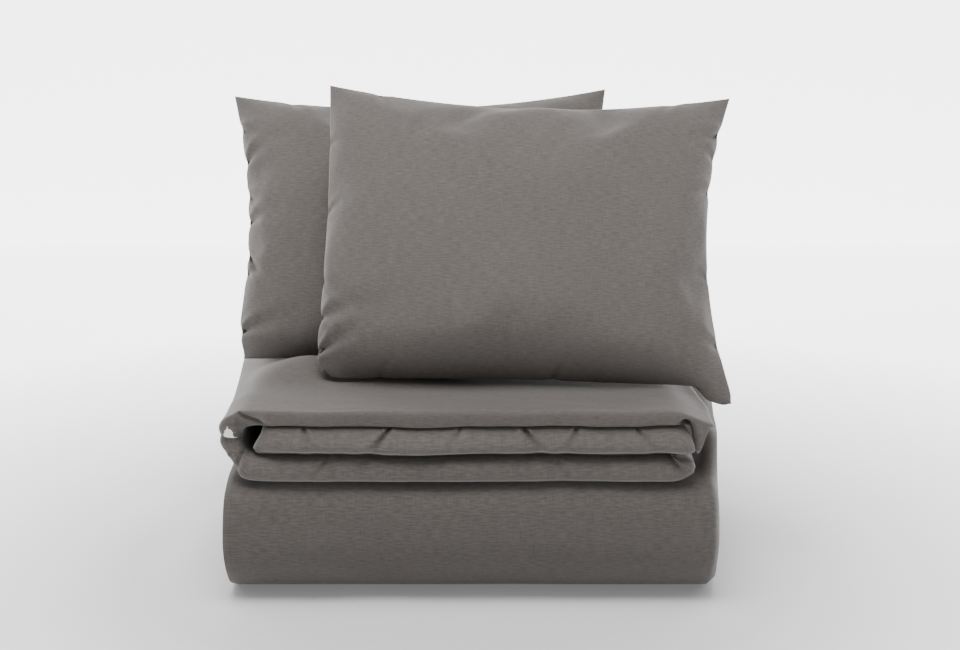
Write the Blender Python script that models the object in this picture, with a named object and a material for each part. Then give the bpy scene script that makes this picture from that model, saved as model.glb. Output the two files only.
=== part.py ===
"""Folded duvet set: a duvet folded in four, a lighter duvet folded in three on top of it, and two pillows."""
from math import cos, pi, radians, sin

import bmesh
import bpy
from mathutils import Matrix, Vector

# ---- Fits, in metres ----
FIT = 0.0004            # clearance between pieces that touch
FOLD_GAP = 0.0010       # air between two layers of one folded duvet

# ---- Cloth, as thick as the modelled sheets are ----
COVER_CLOTH = 0.0016    # cover with its seam allowance
CASING_CLOTH = 0.0012   # casing round a wadding
LABEL_CLOTH = 0.0006

# ---- Duvet: folded once across its width, then twice along its length ----
DUVET_LENGTH = 1.98
DUVET_WIDTH = 1.475
DUVET_LOFT = 0.0225     # one layer, cover included

# ---- Light duvet: folded in three across its width, then in three along its length ----
LIGHT_LENGTH = 2.108
LIGHT_WIDTH = 1.485
LIGHT_LOFT = 0.0112
LIGHT_GAP = 0.0008
LIGHT_SETBACK = 0.015   # front of the light duvet behind the front of the duvet
LIGHT_SHIFT = -0.007    # sideways, to the left
LIGHT_OVERHANG = 0.041  # top ply past the right-hand inner fold

# ---- Pillows ----
PILLOW_WIDTH = 0.660    # corner to corner
PILLOW_HEIGHT = 0.500
PILLOW_DEPTH = 0.176
PILLOW_SIDE_SAG = 0.026  # how far the side edges draw in between the corners
PILLOW_TOP_SAG = 0.030
PILLOW_LEAN = radians(23)
FRONT_PILLOW_X = 0.088
BACK_PILLOW_X = -0.088
FRONT_PILLOW_SETBACK = 0.140  # foot of the front pillow behind the front of the duvet
FLAP_SHARE = 0.45       # of the half width, from the mouth of the pillowcase

# ---- Zips ----
ZIP_START = 0.070       # closed end of a zip, in from the left side
COIL_HALF = 0.0021      # half the width of a closed coil
COIL_DEPTH = 0.0022
STOP_LENGTH = 0.004
SLIDER_LENGTH = 0.009
SLIDER_WIDTH = 0.007
SLIDER_HEIGHT = 0.0042
SLIDER_WALL = 0.0012
SLIDER_END_WALL = 0.0020
TAB_LENGTH = 0.024
TAB_BAR = 0.0010
TAB_CLEARANCE = 0.0007

# ---- Corner ties and labels ----
TIE_THICKNESS = 0.0020
TIE_WIDTH = 0.012
LABEL_WIDTH = 0.040
LABEL_DROP = 0.030

# ---- Smoothness ----
BIG_BEND_STEPS = 10
SMALL_BEND_STEPS = 6
PILLOW_COLUMNS = 12
PILLOW_ROWS = 10
PILLOW_FULLNESS = 0.62

# ---- Colours: linear red, green, blue, then roughness and metallic ----
COVER_FABRIC = ((0.150, 0.138, 0.127), 0.92, 0.0)
CASING_FABRIC = ((0.78, 0.77, 0.74), 0.90, 0.0)
WADDING_FIBRE = ((0.86, 0.86, 0.84), 1.00, 0.0)
ZIP_TAPE = ((0.110, 0.102, 0.095), 0.85, 0.0)
ZIP_COIL = ((0.090, 0.085, 0.080), 0.45, 0.0)
ZIP_METAL = ((0.32, 0.31, 0.30), 0.35, 1.0)
LABEL_SATIN = ((0.72, 0.71, 0.69), 0.50, 0.0)

# ---- Worked out from the sizes above ----
DUVET_LAYER = DUVET_LOFT + FOLD_GAP
DUVET_PLY = 2 * DUVET_LAYER
DUVET_HEIGHT = 4 * DUVET_PLY - FOLD_GAP
DUVET_FRONT_RADIUS = 2 * DUVET_PLY
DUVET_BENDS = pi * 1.5 * DUVET_PLY + 2 * pi * 0.5 * DUVET_PLY
DUVET_DEPTH = (DUVET_LENGTH - DUVET_BENDS + 4 * DUVET_FRONT_RADIUS + 2 * DUVET_PLY) / 4
DUVET_SIDE_RUN = (DUVET_WIDTH - pi * DUVET_LAYER / 2) / 2
DUVET_SPAN = DUVET_SIDE_RUN + DUVET_LAYER / 2 + DUVET_LOFT / 2

LIGHT_LAYER = LIGHT_LOFT + LIGHT_GAP
LIGHT_PLY = 3 * LIGHT_LAYER
LIGHT_BASE = DUVET_HEIGHT + FIT
LIGHT_TOP = LIGHT_BASE + 3 * LIGHT_PLY - LIGHT_GAP
LIGHT_NOSE = 1.5 * LIGHT_LAYER - LIGHT_GAP / 2
LIGHT_WRAP = 1.5 * LIGHT_PLY - LIGHT_GAP / 2


# ---------------------------------------------------------------- folds
class Station:
    """A point on a fold line, with the direction the cloth runs in there."""

    def __init__(self, place, heading):
        self.place = place
        self.heading = heading

    def beside(self, offset, ahead=0.0):
        """The point to the left of the line by offset, and ahead along it."""
        along = Vector((cos(self.heading), sin(self.heading)))
        left = Vector((-along.y, along.x))
        return self.place + offset * left + ahead * along


def fold_line(start, heading, moves):
    """Walk a line of straight runs and round bends: moves are (length, 0) or (radius, turn, steps)."""
    stations = [Station(Vector(start), heading)]
    for move in moves:
        here = stations[-1]
        if len(move) == 2:
            stations.append(Station(here.beside(0.0, move[0]), here.heading))
            continue
        radius, turn, steps = move
        side = 1 if turn > 0 else -1
        centre = here.beside(side * radius)
        for step in range(1, steps + 1):
            heading = here.heading + turn * step / steps
            spoke = Vector((sin(heading), -cos(heading)))
            stations.append(Station(centre + side * radius * spoke, heading))
    return stations


def trimmed(stations, start_cut, end_cut):
    """The same fold line, shortened along its first and last straight runs."""
    first = Station(stations[0].beside(0.0, start_cut), stations[0].heading)
    last = Station(stations[-1].beside(0.0, -end_cut), stations[-1].heading)
    return [first] + stations[1:-1] + [last]


def band(stations, low, high):
    """Rungs across a flat layer of cloth between two offsets from its fold line."""
    return [(station.beside(low), station.beside(high)) for station in stations]


def tray(stations, outside, inside, lip, start_lip=True, end_lip=True):
    """Rungs across a sheet whose edges turn over the side of what it covers, as far as lip."""
    thickness = abs(inside - outside)
    rungs = band(stations, outside, inside)
    if start_lip:
        edge = stations[0]
        rungs[0] = (edge.beside(outside), edge.beside(inside, thickness))
        rungs.insert(0, (edge.beside(lip), edge.beside(lip, thickness)))
    if end_lip:
        edge = stations[-1]
        rungs[-1] = (edge.beside(outside), edge.beside(inside, -thickness))
        rungs.append((edge.beside(lip), edge.beside(lip, -thickness)))
    return rungs


# ---------------------------------------------------------------- solids
def material(name, finish):
    colour, roughness, metallic = finish
    made = bpy.data.materials.new(name)
    made.use_nodes = True
    shader = made.node_tree.nodes["Principled BSDF"]
    shader.inputs["Base Color"].default_value = (*colour, 1.0)
    shader.inputs["Roughness"].default_value = roughness
    shader.inputs["Metallic"].default_value = metallic
    return made


def add_piece(name, shape, finish, parent, origin=(0.0, 0.0, 0.0), smooth=True):
    """Make one named object from a closed bmesh that is drawn in world space, with its origin at origin."""
    bmesh.ops.remove_doubles(shape, verts=shape.verts, dist=1e-7)
    bmesh.ops.recalc_face_normals(shape, faces=shape.faces)
    if shape.calc_volume(signed=True) < 0:
        bmesh.ops.reverse_faces(shape, faces=shape.faces)
    mesh = bpy.data.meshes.new(name)
    shape.to_mesh(mesh)
    shape.free()
    mesh.transform(Matrix.Translation(-Vector(origin)))
    mesh.materials.append(material(name, finish))
    piece = bpy.data.objects.new(name, mesh)
    bpy.context.scene.collection.objects.link(piece)
    piece.parent = parent
    piece.location = Vector(origin)
    if smooth:
        mesh.shade_smooth()
        mesh.set_sharp_from_angle(angle=radians(40))
    return piece


def swept(rungs, rings):
    """A closed solid: the rungs of a section carried through every ring, which maps its points to space."""
    shape = bmesh.new()
    grid = [[[shape.verts.new(ring(point)) for point in rung] for rung in rungs] for ring in rings]
    last = len(rungs) - 1
    for near, far in zip(grid, grid[1:]):
        for rung in range(last):
            for side in (0, 1):
                edges = (near[rung][side], near[rung + 1][side], far[rung + 1][side], far[rung][side])
                shape.faces.new(edges)
        for rung in (0, last):
            shape.faces.new((near[rung][0], near[rung][1], far[rung][1], far[rung][0]))
    for cap in (grid[0], grid[-1]):
        for rung in range(last):
            shape.faces.new((cap[rung][0], cap[rung][1], cap[rung + 1][1], cap[rung + 1][0]))
    return shape


def cells(x_cuts, y_cuts, z_cuts, holes=()):
    """A solid of box cells between the cuts, without the cells listed in holes."""
    shape = bmesh.new()
    cuts = (x_cuts, y_cuts, z_cuts)
    corners = {}

    def corner(index):
        if index not in corners:
            corners[index] = shape.verts.new([cuts[axis][index[axis]] for axis in range(3)])
        return corners[index]

    def filled(cell):
        inside = all(0 <= cell[axis] < len(cuts[axis]) - 1 for axis in range(3))
        return inside and cell not in holes

    counts = [range(len(line) - 1) for line in cuts]
    for cell in [(i, j, k) for i in counts[0] for j in counts[1] for k in counts[2]]:
        if not filled(cell):
            continue
        for axis in range(3):
            for step in (-1, 1):
                beside = tuple(cell[n] + (step if n == axis else 0) for n in range(3))
                if filled(beside):
                    continue
                face = []
                for first, second in ((0, 0), (1, 0), (1, 1), (0, 1)):
                    index = [0, 0, 0]
                    index[axis] = cell[axis] + (step > 0)
                    index[(axis + 1) % 3] = cell[(axis + 1) % 3] + first
                    index[(axis + 2) % 3] = cell[(axis + 2) % 3] + second
                    face.append(corner(tuple(index)))
                shape.faces.new(face)
    return shape


def add_box(name, low, high, finish, parent):
    shape = cells(*((low[axis], high[axis]) for axis in range(3)))
    return add_piece(name, shape, finish, parent, smooth=False)


# ---------------------------------------------------------------- duvets
def add_layers(prefix, parent, loft, section, path, rings_of, open_end):
    """Cover panels, casing panels and wadding of one folded duvet, from its outside to its inside.

    The section is the fold line across the duvet and the path the one along it. open_end leaves the cover's
    second section edge without a lip, where a separate hem and a zip close it.
    """
    half = loft / 2
    edge = COVER_CLOTH + FIT
    inner_edge = edge + CASING_CLOTH + FIT
    end_room = edge + TIE_THICKNESS + FIT

    cover_path = trimmed(path, edge, edge)
    cover_section = trimmed(section, 0.0, edge if open_end else 0.0)
    cover_rungs = tray(cover_section, -half, -half + COVER_CLOTH, half - edge, end_lip=not open_end)
    add_piece(prefix + "cover_outer_panel", swept(cover_rungs, rings_of(cover_path)), COVER_FABRIC, parent)
    inner_rungs = band(cover_section, half - COVER_CLOTH, half)
    add_piece(prefix + "cover_inner_panel", swept(inner_rungs, rings_of(cover_path)), COVER_FABRIC, parent)

    casing_path = trimmed(path, end_room, end_room)
    casing_section = trimmed(section, edge, edge)
    casing_out = half - edge
    casing_in = casing_out - CASING_CLOTH
    casing_rungs = tray(casing_section, -casing_out, -casing_in, casing_in - FIT)
    casing_rings = rings_of(casing_path)
    add_piece(prefix + "casing_outer_panel", swept(casing_rungs, casing_rings), CASING_FABRIC, parent)
    casing_rungs = band(casing_section, casing_in, casing_out)
    add_piece(prefix + "casing_inner_panel", swept(casing_rungs, casing_rings), CASING_FABRIC, parent)

    wadding_section = trimmed(section, inner_edge, inner_edge)
    wadding_rungs = band(wadding_section, -(casing_in - FIT), casing_in - FIT)
    add_piece(prefix + "wadding", swept(wadding_rungs, casing_rings), WADDING_FIBRE, parent)


def add_end_plate(name, parent, section, loft, rings, finish=COVER_FABRIC):
    """A strip of cover cloth across the end of every layer of the section."""
    add_piece(name, swept(band(section, -loft / 2, loft / 2), rings), finish, parent)


def add_ties(prefix, parent, section, loft, path, rings_of):
    """Four tape ties that hold the corners of a duvet in the corners of its cover."""
    edge = COVER_CLOTH + FIT
    reach = loft / 2 - edge
    corners = ((1, trimmed(section, edge, 0.0)[0]), (-1, trimmed(section, 0.0, edge)[-1]))
    flush = trimmed(path, edge, edge)
    deep = trimmed(path, edge + TIE_THICKNESS, edge + TIE_THICKNESS)
    number = 0
    for end in (0, -1):
        rings = rings_of([flush[end], deep[end]])
        for way, station in corners:
            number += 1
            ends = (0.0, way * TIE_WIDTH)
            rungs = [(station.beside(-reach, ahead), station.beside(reach, ahead)) for ahead in ends]
            name = prefix + "corner_tie_" + str(number)
            add_piece(name, swept(rungs, rings), CASING_FABRIC, parent, smooth=False)


def add_zip(prefix, parent, left, right, back, middle, loft):
    """A closed coil zip along X in a face that looks back, with its slider at the left end."""
    half = loft / 2
    front = back - COVER_CLOTH
    coil_back = front + COIL_DEPTH
    tape = COIL_HALF + FIT
    for side, low, high in (("upper", tape, half), ("lower", -half, -tape)):
        corners = ((left, front, middle + low), (right, back, middle + high))
        add_box(prefix + "zip_" + side + "_tape", *corners, ZIP_TAPE, parent)
    coil_left = left + STOP_LENGTH + FIT
    coil_right = right - STOP_LENGTH - FIT
    for side, low, high in (("upper", FIT / 2, COIL_HALF), ("lower", -COIL_HALF, -FIT / 2)):
        corners = ((coil_left, front, middle + low), (coil_right, coil_back, middle + high))
        add_box(prefix + "zip_" + side + "_coil", *corners, ZIP_COIL, parent)
    for name, start in (("closed", left), ("open", right - STOP_LENGTH)):
        low = (start, front, middle - COIL_HALF)
        high = (start + STOP_LENGTH, coil_back, middle + COIL_HALF)
        add_box(prefix + "zip_" + name + "_end_stop", low, high, ZIP_METAL, parent)

    slider_left = coil_left + FIT
    slider_back = coil_back + FIT
    centre_x = slider_left + SLIDER_LENGTH / 2
    x_cuts = [centre_x + x for x in (-SLIDER_LENGTH / 2, -SLIDER_LENGTH / 2 + SLIDER_END_WALL)]
    x_cuts += [2 * centre_x - x for x in reversed(x_cuts)]
    y_cuts = [slider_back + y for y in (0, SLIDER_WALL, SLIDER_HEIGHT - SLIDER_WALL, SLIDER_HEIGHT)]
    z_cuts = [middle + z for z in (-SLIDER_WIDTH / 2, SLIDER_WIDTH / 2)]
    shape = cells(x_cuts, y_cuts, z_cuts, holes=((1, 1, 0),))
    pivot = Vector((centre_x, slider_back + SLIDER_HEIGHT / 2, middle))
    slider = add_piece(prefix + "zip_slider", shape, ZIP_METAL, parent, origin=pivot, smooth=False)

    bar = TAB_BAR / 2
    window = SLIDER_LENGTH / 2 + TAB_CLEARANCE
    inner = SLIDER_WIDTH / 2 + TAB_CLEARANCE
    x_cuts = [-TAB_LENGTH, -window, -bar, bar]
    y_cuts = [-bar, bar]
    z_cuts = [-inner - TAB_BAR, -inner, inner, inner + TAB_BAR]
    shape = cells(x_cuts, y_cuts, z_cuts, holes=((1, 0, 1),))
    tab = add_piece(prefix + "zip_pull_tab", shape, ZIP_METAL, slider, smooth=False)
    tab.location = (0.0, 0.0, 0.0)


def add_label(name, parent, x, back, top):
    low = (x - LABEL_WIDTH / 2, back + FIT, top - LABEL_DROP)
    add_box(name, low, (x + LABEL_WIDTH / 2, back + FIT + LABEL_CLOTH, top), LABEL_SATIN, parent)


def duvet_section():
    """Across the duvet: from its right edge above, round the left-hand fold, to its right edge below."""
    start = (DUVET_SPAN / 2, DUVET_LAYER / 2)
    bend = (DUVET_LAYER / 2, pi, SMALL_BEND_STEPS)
    return fold_line(start, pi, [(DUVET_SIDE_RUN, 0), bend, (DUVET_SIDE_RUN, 0)])


def duvet_path():
    """Along the duvet, seen from the left: top, round front, bottom, back fold, and the two inner plies."""
    half = DUVET_PLY / 2
    nose = DUVET_FRONT_RADIUS - FOLD_GAP / 2
    top_run = DUVET_DEPTH - nose
    lower_run = top_run - DUVET_PLY + FOLD_GAP / 2
    start = (DUVET_DEPTH, DUVET_HEIGHT - half + FOLD_GAP / 2)
    front = (3 * half, pi, BIG_BEND_STEPS)
    back = (half, pi, SMALL_BEND_STEPS)
    tucked = (half, -pi, SMALL_BEND_STEPS)
    moves = [(top_run, 0), front, (lower_run, 0), back, (lower_run, 0), tucked, (top_run, 0)]
    return fold_line(start, pi, moves)


def duvet_rings(stations):
    """Section points go across the duvet and to the outside of the path."""
    def ring(station):
        def place(point):
            spot = station.beside(-point.y)
            return (point.x, spot.x, spot.y)
        return place
    return [ring(station) for station in stations]


def add_duvet(root):
    prefix = "duvet_"
    section = duvet_section()
    path = duvet_path()
    add_layers(prefix, root, DUVET_LOFT, section, path, duvet_rings, open_end=False)
    add_ties(prefix, root, section, DUVET_LOFT, path, duvet_rings)
    head = [path[-1], trimmed(path, 0.0, COVER_CLOTH)[-1]]
    add_end_plate(prefix + "cover_head_seam", root, section, DUVET_LOFT, duvet_rings(head))
    zip_left = -DUVET_SPAN / 2 + ZIP_START
    hem_section = trimmed(section, DUVET_SPAN / 2 - zip_left + FIT, 0.0)
    foot = [path[0], trimmed(path, COVER_CLOTH, 0.0)[0]]
    add_end_plate(prefix + "cover_foot_hem", root, hem_section, DUVET_LOFT, duvet_rings(foot))
    middle = path[0].place.y + DUVET_LAYER / 2
    add_zip(prefix, root, zip_left, DUVET_SPAN / 2, DUVET_DEPTH, middle, DUVET_LOFT)
    label_top = path[-1].place.y - FOLD_GAP
    add_label(prefix + "care_label", root, DUVET_SPAN / 4, DUVET_DEPTH, label_top)


def light_section():
    """Across the light duvet, front at zero: tucked layer, back fold, one side, the front, other side."""
    bends = pi * LIGHT_LAYER * 1.5
    step_back = LIGHT_LAYER / 2 + LIGHT_LOFT / 2
    run = (LIGHT_WIDTH - bends + step_back) / 3
    moves = [(run - step_back, 0)]
    moves += [(LIGHT_LAYER / 2, pi, SMALL_BEND_STEPS)]
    moves += [(run - step_back, 0)]
    moves += [(LIGHT_LAYER, pi, SMALL_BEND_STEPS)]
    moves += [(run, 0)]
    return fold_line((LIGHT_NOSE, 0.0), 0.0, moves)


def light_path(left):
    """Along the light duvet: tucked middle ply, its right fold, bottom ply, left wrap, top ply."""
    middle = LIGHT_BASE + 1.5 * LIGHT_PLY - LIGHT_GAP / 2
    wrap_centre = left + LIGHT_WRAP
    bends = pi * LIGHT_PLY * 1.5
    run = (LIGHT_LENGTH - bends - LIGHT_OVERHANG - LIGHT_PLY / 2) / 3
    moves = [(run, 0)]
    moves += [(LIGHT_PLY / 2, -pi, SMALL_BEND_STEPS)]
    moves += [(run, 0)]
    moves += [(LIGHT_PLY, -pi, BIG_BEND_STEPS)]
    moves += [(run + LIGHT_PLY / 2 + LIGHT_OVERHANG, 0)]
    return fold_line((wrap_centre, middle), 0.0, moves)


def light_rings(stations):
    """Section points go back along Y and, where they are low, to the outside of the path."""
    def ring(station):
        def place(point):
            spot = station.beside(-point.y)
            return (spot.x, LIGHT_SETBACK + point.x, spot.y)
        return place
    return [ring(station) for station in stations]


def add_light_duvet(root):
    prefix = "light_duvet_"
    section = light_section()
    left = LIGHT_SHIFT - DUVET_SPAN / 2
    path = light_path(left)
    add_layers(prefix, root, LIGHT_LOFT, section, path, light_rings, open_end=True)
    add_ties(prefix, root, section, LIGHT_LOFT, path, light_rings)
    head = [path[0], trimmed(path, COVER_CLOTH, 0.0)[0]]
    foot = [path[-1], trimmed(path, 0.0, COVER_CLOTH)[-1]]
    add_end_plate(prefix + "cover_head_seam", root, section, LIGHT_LOFT, light_rings(head))
    add_end_plate(prefix + "cover_foot_seam", root, section, LIGHT_LOFT, light_rings(foot))

    back = LIGHT_SETBACK + section[-1].place.x
    edge = COVER_CLOTH + FIT
    zip_left = left + LIGHT_WRAP + ZIP_START
    zip_right = path[-1].place.x - edge
    hem_path = trimmed(path, edge, path[-1].place.x - zip_left + FIT)
    hem_rungs = band([trimmed(section, 0.0, COVER_CLOTH)[-1], section[-1]], -LIGHT_LOFT / 2, LIGHT_LOFT / 2)
    add_piece(prefix + "cover_side_hem", swept(hem_rungs, light_rings(hem_path)), COVER_FABRIC, root)
    middle = path[-1].place.y - section[-1].place.y
    add_zip(prefix, root, zip_left, zip_right, back, middle, LIGHT_LOFT)
    add_label(prefix + "care_label", root, DUVET_SPAN / 4, back, middle - LIGHT_LOFT / 2)


# ---------------------------------------------------------------- pillows
def pillow_point(column, row, inset, face):
    """A point on a pillow shrunk by inset; face is 1 for its front half and -1 for its back half."""
    across = sin(pi / 2 * column)
    up = sin(pi / 2 * row)
    half = Vector((PILLOW_WIDTH, PILLOW_HEIGHT, PILLOW_DEPTH)) / 2
    side_sag = PILLOW_SIDE_SAG * (1 - up * up)
    top_sag = PILLOW_TOP_SAG * (1 - across * across) if up > 0 else 0.0
    bulge = ((1 - across ** 2) * (1 - up ** 2)) ** PILLOW_FULLNESS
    x = across * (half.x - side_sag) * (1 - inset / half.x)
    height = up * (half.y - top_sag) * (1 - inset / half.y)
    depth = bulge * half.z * (1 - inset / half.z)
    return Vector((x, -face * (FIT / 2 + depth), height + half.y))


def add_skin(shape, skin, columns, rows):
    """Two triangles for each cell of a skin, split from the pillow's middle to its corners."""
    for i, column in enumerate(columns[:-1]):
        for j, row in enumerate(rows[:-1]):
            near = [skin[i][j], skin[i + 1][j], skin[i + 1][j + 1], skin[i][j + 1]]
            outward = (column < PILLOW_COLUMNS / 2) == (row < PILLOW_ROWS / 2)
            cell = near if outward else near[1:] + near[:1]
            shape.faces.new(cell[:3])
            shape.faces.new((cell[2], cell[3], cell[0]))


def pillow_grid(columns, rows, inset, face):
    """Points of part of a pillow half; columns and rows are index ranges of its full grid."""
    return [[pillow_point(2 * i / PILLOW_COLUMNS - 1, 2 * j / PILLOW_ROWS - 1, inset, face) for j in rows]
            for i in columns]


def pillow_sheet(outside, inside, face, columns=None, rows=None):
    """A sheet of cloth over a pillow half, or over some columns and rows of it."""
    columns = columns or range(PILLOW_COLUMNS + 1)
    rows = rows or range(PILLOW_ROWS + 1)
    shape = bmesh.new()
    skins = []
    for inset in (outside, inside):
        points = pillow_grid(columns, rows, inset, face)
        skins.append([[shape.verts.new(point) for point in line] for line in points])
        add_skin(shape, skins[-1], columns, rows)
    across = len(columns) - 1
    up = len(rows) - 1
    outer, inner = skins
    for j in range(up):
        for i in (0, across):
            shape.faces.new((outer[i][j], outer[i][j + 1], inner[i][j + 1], inner[i][j]))
    for i in range(across):
        for j in (0, up):
            shape.faces.new((outer[i][j], outer[i + 1][j], inner[i + 1][j], inner[i][j]))
    return shape


def pillow_core(inset):
    """The wadding of a pillow: both halves, joined at the rim."""
    shape = bmesh.new()
    columns = range(PILLOW_COLUMNS + 1)
    rows = range(PILLOW_ROWS + 1)
    skins = []
    for face in (1, -1):
        points = pillow_grid(columns, rows, inset, face)
        skins.append([[shape.verts.new(point) for point in line] for line in points])
        add_skin(shape, skins[-1], columns, rows)
    front, back = skins
    for j in rows[:-1]:
        for i in (0, PILLOW_COLUMNS):
            shape.faces.new((front[i][j], front[i][j + 1], back[i][j + 1], back[i][j]))
    for i in columns[:-1]:
        for j in (0, PILLOW_ROWS):
            shape.faces.new((front[i][j], front[i + 1][j], back[i + 1][j], back[i][j]))
    return shape


def add_pillow(prefix, root, x, setback):
    """One pillow in its case, standing on the light duvet and leaning back."""
    stand = bpy.data.objects.new(prefix + "stand", None)
    bpy.context.scene.collection.objects.link(stand)
    stand.parent = root
    stand.location = (x, setback, LIGHT_TOP + FIT)
    stand.rotation_euler = (-PILLOW_LEAN, 0.0, 0.0)
    flap = COVER_CLOTH + FIT
    casing = flap + COVER_CLOTH + FIT
    wadding = casing + CASING_CLOTH + FIT
    for face, side in ((1, "front"), (-1, "back")):
        sheet = pillow_sheet(0.0, COVER_CLOTH, face)
        add_piece(prefix + "case_" + side + "_panel", sheet, COVER_FABRIC, stand)
        sheet = pillow_sheet(casing, casing + CASING_CLOTH, face)
        add_piece(prefix + "casing_" + side + "_panel", sheet, CASING_FABRIC, stand)
    first = round(PILLOW_COLUMNS * (1 - FLAP_SHARE / 2))
    columns = range(first, PILLOW_COLUMNS + 1)
    add_piece(prefix + "case_flap", pillow_sheet(flap, flap + COVER_CLOTH, -1, columns), COVER_FABRIC, stand)
    add_piece(prefix + "wadding", pillow_core(wadding), WADDING_FIBRE, stand)
    label = pillow_sheet(casing - FIT - LABEL_CLOTH, casing - FIT, 1, range(2, 4), range(2, 4))
    add_piece(prefix + "care_label", label, LABEL_SATIN, stand)


# ---------------------------------------------------------------- assembly
def clear_scene():
    for item in list(bpy.data.objects):
        bpy.data.objects.remove(item, do_unlink=True)


def centre_on_origin(root):
    """Move the whole set so that the middle of its footprint is the origin."""
    bpy.context.view_layer.update()
    corners = [item.matrix_world @ vertex.co for item in bpy.data.objects if item.type == "MESH"
               for vertex in item.data.vertices]
    for axis in (0, 1):
        low = min(corner[axis] for corner in corners)
        high = max(corner[axis] for corner in corners)
        root.location[axis] -= (low + high) / 2
    root.location.z -= min(corner.z for corner in corners)


def main():
    clear_scene()
    root = bpy.data.objects.new("bedding_set", None)
    bpy.context.scene.collection.objects.link(root)
    add_duvet(root)
    add_light_duvet(root)
    spacing = (PILLOW_DEPTH + 2 * FIT) / cos(PILLOW_LEAN)
    add_pillow("front_pillow_", root, FRONT_PILLOW_X, FRONT_PILLOW_SETBACK)
    add_pillow("back_pillow_", root, BACK_PILLOW_X, FRONT_PILLOW_SETBACK + spacing)
    centre_on_origin(root)


main()
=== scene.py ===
"""The looks of the folded duvet set: two folded duvets and two pillows in one slub-woven fabric."""
from math import cos, pi, radians, sin

import bmesh
import bpy
import numpy as np
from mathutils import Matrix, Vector, noise


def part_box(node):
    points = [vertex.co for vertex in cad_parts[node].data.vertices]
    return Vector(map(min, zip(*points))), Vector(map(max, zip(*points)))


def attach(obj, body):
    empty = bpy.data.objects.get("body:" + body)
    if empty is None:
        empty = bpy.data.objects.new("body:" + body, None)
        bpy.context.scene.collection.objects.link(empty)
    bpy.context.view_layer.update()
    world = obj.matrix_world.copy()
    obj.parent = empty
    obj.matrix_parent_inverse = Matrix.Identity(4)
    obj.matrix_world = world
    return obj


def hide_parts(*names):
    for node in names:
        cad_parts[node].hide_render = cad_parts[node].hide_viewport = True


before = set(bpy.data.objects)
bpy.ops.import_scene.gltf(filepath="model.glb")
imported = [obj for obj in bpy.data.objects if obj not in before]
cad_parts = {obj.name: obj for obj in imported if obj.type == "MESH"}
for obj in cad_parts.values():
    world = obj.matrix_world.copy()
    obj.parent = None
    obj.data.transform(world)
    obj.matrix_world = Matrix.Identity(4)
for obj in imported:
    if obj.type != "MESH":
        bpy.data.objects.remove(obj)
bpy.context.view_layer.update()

# ---- Sizes of the cloth, as in the CAD, in metres ----
FOLD_GAP = 0.0010
DUVET_LOFT = 0.0225
DUVET_WIDTH = 1.475
LIGHT_LOFT = 0.0112
LIGHT_GAP = 0.0008
LIGHT_LENGTH = 2.108
LIGHT_WIDTH = 1.485
LIGHT_OVERHANG = 0.041
CASE_WIDTH = 0.70
CASE_HEIGHT = 0.50
PILLOW_LEAN = radians(23)

# ---- Fillings: how much narrower, shorter and thinner than their covers ----
DUVET_FILLING_INSET = 0.006
DUVET_FILLING_SLACK = 0.005
LIGHT_FILLING_INSET = 0.007
LIGHT_FILLING_END_INSET = 0.045
LIGHT_FILLING_SLACK = 0.0065
PILLOW_FILLING_SHARE = 0.965
DUVET_FILLING_PARTS = ("casing_outer_panel", "casing_inner_panel", "wadding", "corner_tie_1", "corner_tie_2",
                       "corner_tie_3", "corner_tie_4")

# ---- Rounding of the sewn edges, and the mesh step of a pillow ----
DUVET_EDGE_RADIUS = 0.014
LIGHT_EDGE_RADIUS = 0.010
PILLOW_STEP = 0.009

# ---- Creases below the edge of a ply: where in x, how far they lean and how deep they are ----
UPPER_CREASES = ((-0.122, 0.9, 0.013), (0.068, -0.8, 0.013), (0.150, 0.5, 0.008), (-0.25, -0.6, 0.007),
                 (-0.02, 0.7, 0.005), (0.235, -1.0, 0.007))
LOWER_CREASES = ((0.285, -1.2, 0.012), (-0.21, 1.0, 0.008), (-0.07, 0.4, 0.004), (0.12, -0.5, 0.004))

DUVET_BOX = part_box("duvet_cover_outer_panel")
LIGHT_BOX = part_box("light_duvet_cover_outer_panel")
FRONT_PILLOW_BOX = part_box("front_pillow_case_front_panel")
BACK_PILLOW_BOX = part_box("back_pillow_case_front_panel")
HEAD_SEAM_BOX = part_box("duvet_cover_head_seam")


# ---------------------------------------------------------------- small tools
def smooth(value, low, high):
    """0 below low, 1 above high, and a soft step between them."""
    t = np.clip((value - low) / (high - low), 0.0, 1.0)
    return t * t * (3 - 2 * t)


def ripple(points, scale, seed, depth=2):
    """Soft noise between about -1 and 1 at each point; scale stretches it along each axis."""
    scaled = np.asarray(points, float) * np.asarray(scale, float) + seed
    values = [noise.fractal(Vector(p), 1.0, 2.0, depth) for p in scaled]
    return np.array(values)


def even_grid(rows, columns, low=0.0):
    """Two grids of even steps from low to 1: one along the rows, one across the columns."""
    along = np.linspace(low, 1, rows)[:, None] + np.zeros((1, columns))
    across = np.linspace(low, 1, columns)[None, :] + np.zeros((rows, 1))
    return along, across


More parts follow.
